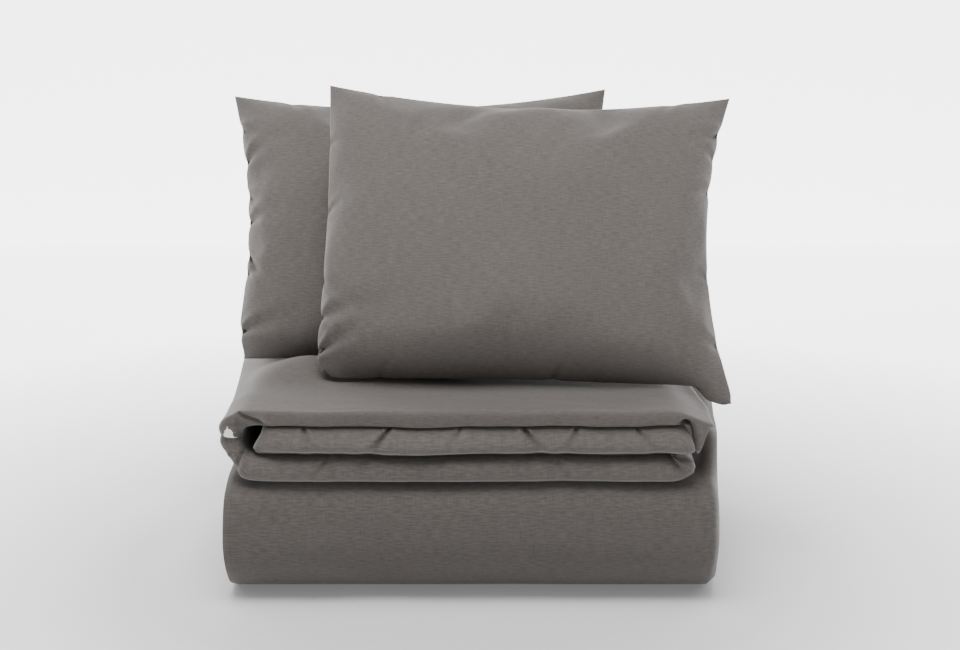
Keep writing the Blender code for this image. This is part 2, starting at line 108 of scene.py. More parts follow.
def add_mesh(name, verts, faces, material, uvs=None):
    """A smooth-shaded mesh object; uvs are per vertex, in metres of flat cloth."""
    mesh = bpy.data.meshes.new(name)
    mesh.from_pydata([tuple(v) for v in verts], [], faces)
    if uvs is not None:
        layer = mesh.uv_layers.new(name="cloth")
        loops = np.zeros(len(mesh.loops), np.int32)
        mesh.loops.foreach_get("vertex_index", loops)
        layer.data.foreach_set("uv", np.asarray(uvs, np.float32)[loops].ravel())
    shape = bmesh.new()
    shape.from_mesh(mesh)
    bmesh.ops.recalc_face_normals(shape, faces=shape.faces)
    if shape.calc_volume(signed=True) < 0:
        bmesh.ops.reverse_faces(shape, faces=shape.faces)
    shape.to_mesh(mesh)
    shape.free()
    mesh.shade_smooth()
    mesh.materials.append(material)
    obj = bpy.data.objects.new(name, mesh)
    bpy.context.scene.collection.objects.link(obj)
    return obj


def sewn_mesh(name, grid, uv_grid, material):
    """A closed skin from two grids of points, (2, rows, columns, 3), that share their rim."""
    rows, columns = grid.shape[1:3]
    front = np.arange(rows * columns).reshape(rows, columns)
    back = front.copy()
    inner = (rows - 2) * (columns - 2)
    back[1:-1, 1:-1] = rows * columns + np.arange(inner).reshape(rows - 2, columns - 2)
    verts = np.concatenate([grid[0].reshape(-1, 3), grid[1, 1:-1, 1:-1].reshape(-1, 3)])
    uvs = np.concatenate([uv_grid.reshape(-1, 2), uv_grid[1:-1, 1:-1].reshape(-1, 2)])
    faces = []
    for index in (front, back[:, ::-1]):
        quads = np.stack([index[:-1, :-1], index[1:, :-1], index[1:, 1:], index[:-1, 1:]], axis=-1)
        faces += quads.reshape(-1, 4).tolist()
    return add_mesh(name, verts, faces, material, uvs), np.stack([front, back])


def stand_for(piece, body, slot, *nodes):
    """Say what a piece rides on and which nodes it replaces; slot, what it is made of, is not used."""
    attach(piece, body)
    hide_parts(*nodes)


def pad(piece, body, slot, parts):
    """A filled piece that stands for some of its body's parts."""
    stand_for(piece, body, slot, *[body + "_" + part for part in parts])


# ---------------------------------------------------------------- materials
class Nodes:
    """Builds a Principled material, one node at a time."""

    def __init__(self, name):
        self.material = bpy.data.materials.new(name)
        self.material.use_nodes = True
        self.tree = self.material.node_tree
        self.shader = self.tree.nodes["Principled BSDF"]

    def add(self, kind, **values):
        node = self.tree.nodes.new(kind)
        for name, value in values.items():
            setattr(node, name, value)
        return node

    def link(self, source, target):
        self.tree.links.new(source, target)

    def stretched_noise(self, coordinates, scale, detail=2.0):
        mapping = self.add("ShaderNodeMapping")
        mapping.inputs["Scale"].default_value = scale
        self.link(coordinates, mapping.inputs["Vector"])
        texture = self.add("ShaderNodeTexNoise")
        texture.inputs["Scale"].default_value = 1.0
        texture.inputs["Detail"].default_value = detail
        texture.inputs["Roughness"].default_value = 0.55
        self.link(mapping.outputs["Vector"], texture.inputs["Vector"])
        return texture.outputs["Fac"]

    def stretch(self, source, low, high, to_low=0.0, to_high=1.0):
        node = self.add("ShaderNodeMapRange")
        node.inputs["From Min"].default_value = low
        node.inputs["From Max"].default_value = high
        node.inputs["To Min"].default_value = to_low
        node.inputs["To Max"].default_value = to_high
        self.link(source, node.inputs["Value"])
        return node.outputs["Result"]

    def math(self, operation, first, second):
        node = self.add("ShaderNodeMath", operation=operation)
        for socket, value in zip(node.inputs, (first, second)):
            if isinstance(value, (int, float)):
                socket.default_value = value
            else:
                self.link(value, socket)
        return node.outputs["Value"]

    def mix(self, factor, first, second):
        """A blend of two plain colours."""
        node = self.add("ShaderNodeMix", data_type="RGBA")
        self.link(factor, node.inputs["Factor"])
        for name, value in (("A", first), ("B", second)):
            socket = [s for s in node.inputs if s.name == name and s.type == "RGBA"][0]
            socket.default_value = (*value, 1.0)
        return [s for s in node.outputs if s.type == "RGBA"][0]

    def bump(self, height, strength, distance):
        node = self.add("ShaderNodeBump")
        node.inputs["Strength"].default_value = strength
        node.inputs["Distance"].default_value = distance
        self.link(height, node.inputs["Height"])
        return node.outputs["Normal"]


def slub_fabric():
    """A plain weave of uneven yarn: thick and thin stretches along the weft, and fainter ones across."""
    nodes = Nodes("slub_fabric")
    cloth = nodes.add("ShaderNodeUVMap", uv_map="cloth").outputs["UV"]
    weft = nodes.stretched_noise(cloth, (70.0, 640.0, 1.0))
    warp = nodes.stretched_noise(cloth, (700.0, 60.0, 1.0))
    slubs = nodes.stretch(weft, 0.32, 0.68)
    ends = nodes.stretch(warp, 0.32, 0.68)
    yarn = nodes.math("ADD", nodes.math("MULTIPLY", slubs, 0.70), nodes.math("MULTIPLY", ends, 0.30))
    wide = nodes.stretched_noise(cloth, (7.0, 9.0, 1.0))
    tone = nodes.math("ADD", yarn, nodes.stretch(wide, 0.3, 0.7, -0.06, 0.06))
    colour = nodes.mix(tone, (0.080, 0.072, 0.067), (0.123, 0.111, 0.103))
    nodes.link(colour, nodes.shader.inputs["Base Color"])
    nodes.link(nodes.stretch(yarn, 0.0, 1.0, 0.96, 0.82), nodes.shader.inputs["Roughness"])
    nodes.link(nodes.bump(yarn, 0.22, 0.0005), nodes.shader.inputs["Normal"])
    nodes.shader.inputs["Sheen Weight"].default_value = 0.25
    nodes.shader.inputs["Sheen Roughness"].default_value = 0.45
    nodes.shader.inputs["Specular IOR Level"].default_value = 0.15
    return nodes.material


def plain_weave(name, dark, light, roughness=0.9, scale=900.0):
    """Even cloth and thread, for casings, tapes, coils, stitches and labels."""
    nodes = Nodes(name)
    place = nodes.add("ShaderNodeTexCoord").outputs["Object"]
    weave = nodes.stretched_noise(place, (scale, scale, scale), detail=1.0)
    cloudy = nodes.stretched_noise(place, (40.0, 40.0, 40.0))
    threads = nodes.stretch(weave, 0.3, 0.7, 0.0, 0.7)
    tone = nodes.math("ADD", threads, nodes.stretch(cloudy, 0.3, 0.7, 0.0, 0.3))
    nodes.link(nodes.mix(tone, dark, light), nodes.shader.inputs["Base Color"])
    nodes.link(nodes.bump(weave, 0.3, 0.0003), nodes.shader.inputs["Normal"])
    nodes.shader.inputs["Roughness"].default_value = roughness
    nodes.shader.inputs["Sheen Weight"].default_value = 0.2
    return nodes.material


def worn_metal(name):
    """Plated metal with fine scuffs."""
    nodes = Nodes(name)
    place = nodes.add("ShaderNodeTexCoord").outputs["Object"]
    scuffs = nodes.stretched_noise(place, (900.0, 300.0, 300.0), detail=4.0)
    nodes.link(nodes.mix(scuffs, (0.22, 0.21, 0.20), (0.46, 0.45, 0.43)), nodes.shader.inputs["Base Color"])
    nodes.link(nodes.stretch(scuffs, 0.3, 0.7, 0.22, 0.45), nodes.shader.inputs["Roughness"])
    nodes.link(nodes.bump(scuffs, 0.2, 0.0001), nodes.shader.inputs["Normal"])
    nodes.shader.inputs["Metallic"].default_value = 1.0
    return nodes.material


FABRIC = slub_fabric()
CASING = plain_weave("casing_cotton", (0.66, 0.65, 0.62), (0.84, 0.83, 0.80))
TAPE = plain_weave("zip_tape_twill", (0.075, 0.070, 0.065), (0.135, 0.127, 0.118), scale=1400.0)
COIL = plain_weave("zip_coil_nylon", (0.070, 0.066, 0.062), (0.105, 0.100, 0.094), roughness=0.42)
THREAD = plain_weave("sewing_thread", (0.090, 0.083, 0.077), (0.150, 0.140, 0.130), roughness=0.7,
                     scale=2500.0)
METAL = worn_metal("zip_metal")
SATIN = plain_weave("label_satin", (0.64, 0.63, 0.61), (0.80, 0.79, 0.77), roughness=0.45)


# ---------------------------------------------------------------- folded duvets
class FoldLine:
    """A line of straight runs and round bends, in small steps, with its left-hand normals and its length."""

    def __init__(self, start, heading):
        self.places = [np.array(start, float)]
        self.headings = [heading]
        self.lengths = [0.0]

    def run(self, length, steps):
        start, heading, done = self.places[-1], self.headings[-1], self.lengths[-1]
        along = np.array([cos(heading), sin(heading)])
        for step in range(1, steps + 1):
            self.places.append(start + along * length * step / steps)
            self.headings.append(heading)
            self.lengths.append(done + length * step / steps)
        return self

    def bend(self, radius, turn, steps):
        start, heading, done = self.places[-1], self.headings[-1], self.lengths[-1]
        side = 1 if turn > 0 else -1
        centre = start + side * radius * np.array([-sin(heading), cos(heading)])
        for step in range(1, steps + 1):
            angle = heading + turn * step / steps
            self.places.append(centre + side * radius * np.array([sin(angle), -cos(angle)]))
            self.headings.append(angle)
            self.lengths.append(done + abs(turn) * radius * step / steps)
        return self

    def arrays(self):
        headings = np.array(self.headings)
        normals = np.stack([-np.sin(headings), np.cos(headings)], axis=1)
        return np.array(self.places), normals, np.array(self.lengths)


def edge_profile(lengths, radius):
    """How thick a filled cover is near its two sewn edges, as a share of its full thickness."""
    distance = np.minimum(lengths - lengths[0], lengths[-1] - lengths)
    depth = np.clip(1 - distance / radius, 0.0, 1.0)
    return np.sqrt(np.clip(1 - depth ** 2, 0.0, 1.0))


def folded_cover(name, path, section, loft, edge_radius, place, material, weft_across=False):
    """A filled cover, closed along its rim, folded across along section and then along path.

    place maps (station number on the path, point across the section) to space.
    """
    along = path.arrays()[2]
    across_spots, across_normals, across = section.arrays()
    rows, columns = len(along), len(across)
    share = edge_profile(along, edge_radius)[:, None] * edge_profile(across, edge_radius)[None, :]
    stations = np.arange(rows)[:, None] + np.zeros((1, columns), int)
    skins = []
    for side in (-1, 1):
        points = across_spots[None] + across_normals[None] * (side * loft / 2 * share)[..., None]
        skins.append(place(stations, points[..., 0], points[..., 1]))
    cloth = np.stack(np.meshgrid(along, across, indexing="ij"), axis=-1)
    if weft_across:
        cloth = cloth[..., ::-1]
    return sewn_mesh(name, np.stack(skins), cloth, material)[0]


def squarer(depth, height, radius, power):
    """Push a round fold (depth behind its nose, height off its middle) out towards a square one."""
    ahead = radius - depth
    nose = ahead > 0
    angle = np.arctan2(height, np.where(nose, ahead, 1.0))
    swell = (np.abs(np.cos(angle)) ** power + np.abs(np.sin(angle)) ** power) ** (-1 / power)
    swell = np.where(nose, swell, 1.0)
    return radius - ahead * swell, height * swell


def duvet_section(inset=0.0):
    """Across the block: folded in half lengthways, with the fold at the left."""
    layer = DUVET_LOFT + FOLD_GAP
    side_run = (DUVET_WIDTH - pi * layer / 2) / 2 - inset
    left = DUVET_BOX[0].x + layer / 2 + DUVET_LOFT / 2
    start = (left + side_run, layer / 2)
    return FoldLine(start, pi).run(side_run, 60).bend(layer / 2, pi, 8).run(side_run, 60)


def duvet_path(inset=0.0):
    """Along the block: forward over the top, round the deep front fold, and back and forth below it."""
    ply = 2 * (DUVET_LOFT + FOLD_GAP)
    low, high = DUVET_BOX
    nose = low.y + 2 * ply - FOLD_GAP / 2
    back = HEAD_SEAM_BOX[1].y - inset
    top_run = back - nose
    lower_run = HEAD_SEAM_BOX[1].y - nose - ply + FOLD_GAP / 2
    start = (back, high.z - ply / 2 + FOLD_GAP / 2)
    line = FoldLine(start, pi).run(top_run, 44).bend(1.5 * ply, pi, 40).run(lower_run, 36)
    line.bend(ply / 2, pi, 10).run(lower_run, 14).bend(ply / 2, -pi, 10).run(top_run, 16)
    return line


def shape_duvet(points):
    """The block's soft outline: a squarer upper front, spread sides, a raised right edge and slow dents."""
    low, high = DUVET_BOX
    x, y, z = points[..., 0], points[..., 1], points[..., 2]
    middle = (low.z + high.z) / 2
    radius = (high.z - low.z) / 2
    square_y, square_z = squarer(y - low.y, z - middle, radius, 5.0)
    upper = smooth(z, middle - 0.02, middle + 0.06)
    y = y + (low.y + square_y - y) * upper
    z = z + (middle + square_z - z) * upper
    height = (z - low.z) / (high.z - low.z)
    flat = points.reshape(-1, 3)
    dents = ripple(flat, (5.0, 5.0, 7.0), 3.7).reshape(x.shape)
    side = smooth(np.abs(x), 0.28, 0.37) * np.sign(x)
    bulge = 0.004 * (1 - (2 * height - 1) ** 2) - 0.002
    behind = np.clip(y - low.y - 0.02, 0, None)
    fan = behind * np.where(x > 0, 0.125, 0.04) * (1 - 0.65 * smooth(behind, 0.34, 0.52))
    raised = 0.055 * (1 - smooth(behind, 0.42, 0.51)) * smooth(x, 0.336, 0.368) * smooth(height, 0.55, 1.0)
    z = z + raised * smooth(y, low.y + 0.03, low.y + 0.14)
    x = x + side * (bulge + fan + 0.003 * dents)
    front = smooth(-y, -low.y - 0.10, -low.y)
    y = y + front * 0.004 * dents
    free = smooth(height, 0.05, 0.30)
    held = 1 - smooth(height, 0.86, 1.0) * smooth(y, low.y + 0.03, low.y + 0.06)
    z = z + free * held * 0.003 * dents
    return np.stack([x, y, z], axis=-1)


def add_duvet():
    """The block: its cover, and the filling inside it."""
    left = DUVET_BOX[0].x
    fold_radius = DUVET_LOFT + FOLD_GAP / 2

    def placer(path):
        spots, normals, _ = path.arrays()

        def place(station, across, offset):
            from_left, squared = squarer(across - left, offset, fold_radius, 7.0)
            across = left + from_left
            y = spots[station, 0] - normals[station, 0] * squared
            z = spots[station, 1] - normals[station, 1] * squared
            return shape_duvet(np.stack([across, y, z], axis=-1))
        return place

    path = duvet_path()
    cover = folded_cover("duvet_cover", path, duvet_section(), DUVET_LOFT, DUVET_EDGE_RADIUS, placer(path),
                         FABRIC, weft_across=True)
    pad(cover, "duvet", "cover_fabric",
        ["cover_outer_panel", "cover_inner_panel", "cover_head_seam", "cover_foot_hem"])
    path = duvet_path(DUVET_FILLING_INSET)
    inner = folded_cover("duvet_filling", path, duvet_section(DUVET_FILLING_INSET),
                         DUVET_LOFT - DUVET_FILLING_SLACK, DUVET_EDGE_RADIUS, placer(path), CASING)
    pad(inner, "duvet", "casing_fabric", DUVET_FILLING_PARTS)


def light_section(inset=0.0):
    """Across the light duvet: folded in three, with the mesh closer beside the front fold."""
    layer = LIGHT_LOFT + LIGHT_GAP
    close = 0.08
    nose = 1.5 * layer - LIGHT_GAP / 2
    run = (LIGHT_WIDTH - 1.5 * pi * layer + layer / 2 + LIGHT_LOFT / 2) / 3
    short = run - layer / 2 - LIGHT_LOFT / 2
    line = FoldLine((nose + inset, 0.0), 0.0).run(short - inset, 10).bend(layer / 2, pi, 6)
    line.run(short - close, 20).run(close, 16).bend(layer, pi, 22).run(close, 16).run(run - close - inset, 36)
    return line


def light_path(inset=0.0):
    """Along the light duvet: right, back to the left, round the left end, and right again over the top."""
    ply = 3 * (LIGHT_LOFT + LIGHT_GAP)
    low, high = LIGHT_BOX
    wrap = 1.5 * ply - LIGHT_GAP / 2
    bends = pi * ply * 1.5
    run = (LIGHT_LENGTH - bends - LIGHT_OVERHANG - ply / 2) / 3
    middle = (low.z + high.z) / 2
    line = FoldLine((low.x + wrap + inset, middle), 0.0).run(run - inset, 150).bend(ply / 2, -pi, 16)
    line.run(run, 150).bend(ply, -pi, 40).run(run + ply / 2 + LIGHT_OVERHANG - inset, 190)
    return line


def spot(x, centre, width):
    """A soft bump, 1 at centre."""
    return np.exp(-((x - centre) / width) ** 2)


def draw_creases(y, x, under, share, creases, strength, reach, sides):
    """Draw the cloth back along creases that start at an edge; under is the height below that edge.

    sides says where, in crease widths, the cloth swells beside each crease.
    """
    drop = np.clip(under, 0, None)
    width = 0.0025 + 0.25 * drop
    for at, lean, deep in creases:
        off = x - at + lean * under
        crease = spot(off, 0.0, width)
        for side in sides:
            crease = crease - 0.5 * spot(off, side * width, width)
        y = y + strength * deep * crease * np.exp(-drop / reach) * smooth(under, -0.0004, 0.001) * share
    return y


def add_light_duvet():
    """The light duvet that lies on the block: its cover, and the filling inside it."""
    ply = 3 * (LIGHT_LOFT + LIGHT_GAP)
    low, high = LIGHT_BOX
    middle = (low.z + high.z) / 2
    wrap_x = low.x + 1.5 * ply - LIGHT_GAP / 2

    def placer(path):
        spots, normals, along = path.arrays()

        def place(station, depth, offset):
            level = np.clip(spots[station, 1], middle - ply, middle + ply) - middle
            top = smooth(level, 0.2 * ply, 0.8 * ply)
            offset = -offset
            square_depth, square_offset = squarer(depth, offset, ply / 2, 2.5)
            crisp_depth, crisp_offset = squarer(depth, offset, ply / 2, 9.0)
            depth = square_depth + (crisp_depth - square_depth) * top
            offset = square_offset + (crisp_offset - square_offset) * top
            x = spots[station, 0] + normals[station, 0] * offset
            z = spots[station, 1] + normals[station, 1] * offset
            y = low.y + depth
            return shape_light(x, y, z, along[station], depth)
        return place

    def shape_light(x, y, z, travelled, depth):
        """travelled is the way along the cloth from its tucked end, depth the way back from the front."""
        cloth = np.stack([travelled, depth * 0.5, np.zeros_like(travelled)], axis=-1).reshape(-1, 3)
        slow = ripple(cloth, (4.0, 8.0, 1.0), 1.3).reshape(x.shape)
        quick = ripple(cloth, (14.0, 70.0, 1.0), 8.1).reshape(x.shape)
        room = np.stack([x, y, z], axis=-1).reshape(-1, 3)
        sway = ripple(room, (5.5, 5.0, 9.0), 21.7).reshape(x.shape)
        near = 1 - smooth(depth, 0.02, 0.20)
        front = 1 - smooth(depth, 0.01, 0.09)
        height = (z - low.z) / (high.z - low.z)

        # the wrap round the left end is squashed low down at the front, and creased
        angle = np.degrees(np.arctan2(z - middle, wrap_x - x))
        reach = np.hypot(z - middle, wrap_x - x)
        wrapped = smooth(wrap_x - x, -0.02, 0.02)
        squash = (0.013 * spot(angle, -40.0, 27.0) + 0.003 * spot(angle, 6.0, 7.0)) * wrapped
        squash = squash * (1 - smooth(depth, 0.04, 0.16)) * smooth(reach, 0.012, 0.05)
        x = x + squash * np.cos(np.radians(angle))
        z = z - squash * np.sin(np.radians(angle))

        grooves = 0.010 * spot(angle, 3.0, 4.0) + 0.008 * spot(angle + 300 * (reach - 0.045), -52.0, 6.0)
        y = y + (grooves + 0.004 * smooth(-angle, -4.0, 8.0)) * wrapped * front * smooth(reach, 0.010, 0.022)

        # the right-hand fold is pinched between its two plies
        fold_x = high.x - LIGHT_OVERHANG - ply / 2
        fold_z = middle - ply / 2
        lower = 1 - smooth(z, middle + 0.45 * ply, middle + 0.55 * ply)
        turned = smooth(x - fold_x, -0.004, 0.016) * lower
        swing = np.degrees(np.arctan2(z - fold_z, x - fold_x + 1e-6))
        pinch = (-0.014 * spot(swing, -2.0, 7.0) + 0.004 * spot(swing, -30.0, 16.0)) * turned * front
        x = x + pinch * np.cos(np.radians(swing)) - 0.012 * lower * near * smooth(x, 0.22, 0.33)
        z = z + pinch * np.sin(np.radians(swing))

        # the tucked ply's left end leans in
        tucked = spot(z, middle + 0.006, 0.020) * (1 - smooth(x, wrap_x, wrap_x + 0.12))
        tucked = tucked * smooth(x, wrap_x - 0.012, wrap_x - 0.002)
        x = x + tucked * 0.018 * smooth(z, middle - 0.018, middle + 0.024)

        # the lower plies bulge forward, and draw back and crease where the one above lies on them
        inside = smooth(x, wrap_x - 0.01, wrap_x + 0.05)
        share = (z - low.z) / ply
        middle_ply = smooth(share, 1.0, 1.25) * (1 - smooth(share, 1.30, 2.0))
        bottom_ply = smooth(share, 0.0, 0.3) * (1 - 0.35 * smooth(share, 0.55, 1.0))
        bottom_ply = bottom_ply * (1 - smooth(share, 1.0, 1.02))
        upper_ply = smooth(share, 2.0, 2.02) * (1 - smooth(share, 2.1, 2.7))
        y = y - front * (0.015 * middle_ply * inside + 0.010 * bottom_ply - 0.003 * upper_ply)
        for level in (middle + ply / 2, middle - ply / 2):
            under = level - z
            below = smooth(under, -0.0004, 0.0)
            y = y + 0.007 * below * np.exp(-(under / 0.0026) ** 2) * front * inside
        y = draw_creases(y, x, middle + ply / 2 - z, front, UPPER_CREASES, 1.4, 0.019, (2.0, -2.0))
        y = draw_creases(y, x, middle - ply / 2 - z, front, LOWER_CREASES, 1.3, 0.017, (2.0,))
        y = y + near * (0.004 * slow + 0.0026 * quick)

        # the open right end of the top ply: a flap that hangs over a hollow
        top = smooth(z, middle + 0.5 * ply, middle + 0.5 * ply + 0.001)
        shallow = 1 - smooth(depth, 0.02, 0.07)
        bottom_edge = 1 - smooth(z, middle + 0.55 * ply, middle + 1.3 * ply)
        flap = smooth(x, 0.317, 0.326) * (1 - smooth(x, 0.326, 0.354)) * top * shallow * bottom_edge
        hollow = spot(x, 0.312, 0.010) * top * (1 - smooth(depth, 0.012, 0.045)) * bottom_edge
        x = x - 0.009 * smooth(x, 0.330, 0.360) * top * (1 - smooth(depth, 0.03, 0.12))
        end = smooth(x, 0.27, 0.355)
        z = z - 0.028 * end ** 2 * smooth(z, middle + 0.3 * ply, high.z) * (1 - smooth(depth, 0.03, 0.35))
        z = z - 0.036 * flap + 0.006 * hollow
        z = z - 0.014 * smooth(x, 0.298, 0.322) * top * bottom_edge * smooth(depth, 0.018, 0.05)
        y = y + 0.024 * hollow + 0.002 * flap

        # plies of uneven thickness at the front
        levels = low.z + ply * np.arange(4)
        shown = np.array([low.z, low.z + 0.0385, low.z + 0.0835, high.z])
        z = z + (np.interp(z, levels, shown) - z) * (1 - smooth(depth, 0.03, 0.25))
        free = smooth(height, 0.05, 0.3)
        z = z + free * near * (0.0035 * sway + 0.0007 * quick)
        z = z - 0.005 * (1 - smooth(height, 0.0, 0.35)) * (1 - smooth(depth, 0.0, 0.04))
        z = z + 0.0018 * smooth(height, 0.9, 1.0) * slow

        # the top swells between the pillows and droops at its left edge
        upmost = smooth(height, 0.66, 1.0) * smooth(y, -0.16, -0.05)
        swell = 0.032 * smooth(x, -0.385, -0.25) * spot(y, -0.030, 0.060) * (1 - smooth(x, -0.12, 0.02))
        z = z + upmost * (swell - 0.012 * (1 - smooth(x, -0.372, -0.30)))

        # a fold line runs from the wrap, at x -0.346 and z 0.291, down to the crease under the top ply
        slope = (0.272 - 0.291) / (-0.296 + 0.346)
        above = z - 0.291 - slope * (x + 0.346)
        along_fold = smooth(x, -0.350, -0.342) * (1 - smooth(x, -0.318, -0.296))
        fold_line = (0.013 * spot(above, 0.0, 0.0032) + 0.007 * smooth(-above, 0.0, 0.003)) * along_fold
        y = y + fold_line * front * smooth(z, middle, middle + 0.02)

        # the plies drift to the left towards the back, but the back right keeps to its zip
        fan = 0.115 * np.clip(y + 0.20, 0, None) ** 1.2 * (1 - smooth(y, 0.06, 0.20) * smooth(x, -0.05, 0.25))
        x = x + 0.009 * smooth(x, -0.30, 0.10) * (1 - smooth(y, 0.06, 0.20)) - fan
        return np.stack([x, y, z], axis=-1)

    path = light_path()
    cover = folded_cover("light_duvet_cover", path, light_section(), LIGHT_LOFT, LIGHT_EDGE_RADIUS,
                         placer(path), FABRIC)
    pad(cover, "light_duvet", "cover_fabric",
        ["cover_outer_panel", "cover_inner_panel", "cover_head_seam", "cover_foot_seam", "cover_side_hem"])
    path = light_path(LIGHT_FILLING_END_INSET)
    inner = folded_cover("light_duvet_filling", path, light_section(LIGHT_FILLING_INSET),
                         LIGHT_LOFT - LIGHT_FILLING_SLACK, LIGHT_EDGE_RADIUS, placer(path), CASING)
    pad(inner, "light_duvet", "casing_fabric", DUVET_FILLING_PARTS)


# ---------------------------------------------------------------- pillows
def flat_case(name, seed):
    """Two flat panels sewn along the rim, with a little air between them."""
    u, v = even_grid(round(CASE_WIDTH / PILLOW_STEP) + 1, round(CASE_HEIGHT / PILLOW_STEP) + 1, low=-1)
    x, y = u * CASE_WIDTH / 2, v * CASE_HEIGHT / 2
    lens = 0.030 * ((1 - u ** 2) * (1 - v ** 2)) ** 0.5
    flat = np.stack([x, y, 0 * x], axis=-1).reshape(-1, 3)
    skins = []
    for side in (1, -1):
        rough = ripple(flat, (22.0, 22.0, 1.0), seed + 5 * side).reshape(x.shape)
        skins.append(np.stack([x, y, side * (lens + 0.002 * rough * np.sqrt(lens / 0.03))], axis=-1))
    return sewn_mesh(name, np.stack(skins), np.stack([x, y], axis=-1), FABRIC)


def simulate(obj, pressure, frames):
    """Fill a sewn case with air as cloth, and keep the shape it comes to."""
    cloth = obj.modifiers.new("Cloth", "CLOTH")
    settings = cloth.settings
    settings.quality = 6
    settings.mass = 0.15
    settings.air_damping = 2.0
    settings.tension_stiffness = 40
    settings.compression_stiffness = 40
    settings.shear_stiffness = 12
    settings.bending_stiffness = 0.4
    settings.use_pressure = True
    settings.uniform_pressure_force = pressure
    settings.effector_weights.gravity = 0.0
    cloth.collision_settings.use_collision = False
    cloth.point_cache.frame_end = frames
    for number in range(1, frames + 1):
        bpy.context.scene.frame_set(number)
    shaped = bpy.data.meshes.new_from_object(obj.evaluated_get(bpy.context.evaluated_depsgraph_get()))
    obj.modifiers.clear()
    obj.data = shaped
    bpy.context.scene.frame_set(1)


def settle(grid, weight, rounds):
    """Even out the ruffles where weight is high: each point moves towards the middle of its neighbours."""
    for _ in range(rounds):
        middle = grid.copy()
        beside = grid[:, 2:, 1:-1] + grid[:, :-2, 1:-1] + grid[:, 1:-1, 2:] + grid[:, 1:-1, :-2]
        middle[:, 1:-1, 1:-1] = beside / 4
        for end in (0, -1):
            middle[:, 1:-1, end] = (grid[:, 2:, end] + grid[:, :-2, end]) / 2
            middle[:, end, 1:-1] = (grid[:, end, 2:] + grid[:, end, :-2]) / 2
        grid = grid + weight[None, :, :, None] * (middle - grid)
    return grid


def finer(grid, times):
    """The same skins with times as many steps each way, on smooth curves through the old points."""
    for axis in (1, 2):
        grid = np.moveaxis(grid, axis, 0)
        ends = np.concatenate([2 * grid[:1] - grid[1:2], grid, 2 * grid[-1:] - grid[-2:-1]])
        before, start, stop, after = ends[:-3], ends[1:-2], ends[2:-1], ends[3:]
        steps = []
        for step in range(times):
            t = step / times
            bend = (2 * before - 5 * start + 4 * stop - after) * t ** 2
            twist = (3 * start - before - 3 * stop + after) * t ** 3
            steps.append(0.5 * (2 * start + (stop - before) * t + bend + twist))
        fine = np.stack(steps, axis=1).reshape((-1,) + grid.shape[1:])
        grid = np.moveaxis(np.concatenate([fine, grid[-1:]]), 0, axis)
    return grid


def outline_shift(grid, u, v, half_width, half_height, sags):
    """How far to move each point in the plane of the case, for a rim with an even, drawn-in outline."""
    left, right, foot, top = sags
    t, w = v[0], u[:, 0]
    rim = grid[0, :, :, :2]
    at_left = np.stack([left * (1 - t ** 2) - half_width, t * half_height], 1) - rim[0]
    at_right = np.stack([half_width - right * (1 - t ** 2), t * half_height], 1) - rim[-1]
    at_foot = np.stack([w * half_width, foot * (1 - w ** 2) - half_height], 1) - rim[:, 0]
    at_top = np.stack([w * half_width, half_height - top * (1 - w ** 2)], 1) - rim[:, -1]
    a = ((1 + u) / 2)[..., None]
    b = ((1 + v) / 2)[..., None]
    left_corners = (1 - b) * at_left[0] + b * at_left[-1]
    right_corners = (1 - b) * at_right[0] + b * at_right[-1]
    corners = (1 - a) * left_corners + a * right_corners
    sides = (1 - a) * at_left[None] + a * at_right[None]
    return sides + (1 - b) * at_foot[:, None] + b * at_top[:, None] - corners


def pucker(grid, along, inward, crease, pull):
    """One crease that runs in from a sewn edge; pull is the way to draw that edge in."""
    at, lean, reach, depth = crease
    t = along - at - lean * inward
    width = 0.004 + 0.10 * inward
    fade = np.exp(-(inward / reach) ** 1.5) * smooth(inward, 0.0, 0.010)
    fold = spot(t, 0.0, width) - 0.5 * spot(t, 2.2 * width, 1.2 * width)
    fold = fold - 0.3 * spot(t, -2.2 * width, 1.2 * width)
    for side, sign in ((0, 1), (1, -1)):
        grid[side, :, :, 2] -= sign * depth * fade * fold
    drawn = 0.35 * depth * spot(t, 0.0, 0.012) * np.exp(-inward / 0.02)
    grid[..., :2] += drawn[None, ..., None] * np.array(pull)
    return grid


def lean_pillow(grid, u, v, box, shape):
    """From the plane of the case to its place: turned, leaned back, and seated on the light duvet."""
    roll = shape["roll"]
    turn = np.array([[cos(roll), sin(roll)], [-sin(roll), cos(roll)]])
    flat = grid[..., :2] @ turn.T
    foot = LIGHT_BOX[1].z
    up = flat[..., 1] + shape["height"] / 2 + shape["lift"]
    drooped = shape["droop"] * smooth(u, 0.70, 1.0) * smooth(-v, 0.55, 1.0)
    up = up - drooped
    x = flat[..., 0] + 0.3 * drooped + (box[0].x + box[1].x) / 2
    y = shape["seat_y"] + up * sin(PILLOW_LEAN) - grid[..., 2] * cos(PILLOW_LEAN)
    z = foot + up * cos(PILLOW_LEAN) + grid[..., 2] * sin(PILLOW_LEAN)
    rise = z - foot
    seated = 0.5 * (rise + np.sqrt(rise ** 2 + 0.008 ** 2)) + 0.0006
    z = foot + seated + (rise - seated) * smooth(x, 0.345, 0.375)
    spread = np.exp(-np.clip(seated, 0, None) / 0.05)
    y = shape["seat_y"] + (y - shape["seat_y"]) * (1 + 0.15 * spread)
    return np.stack([x, y, z], axis=-1)


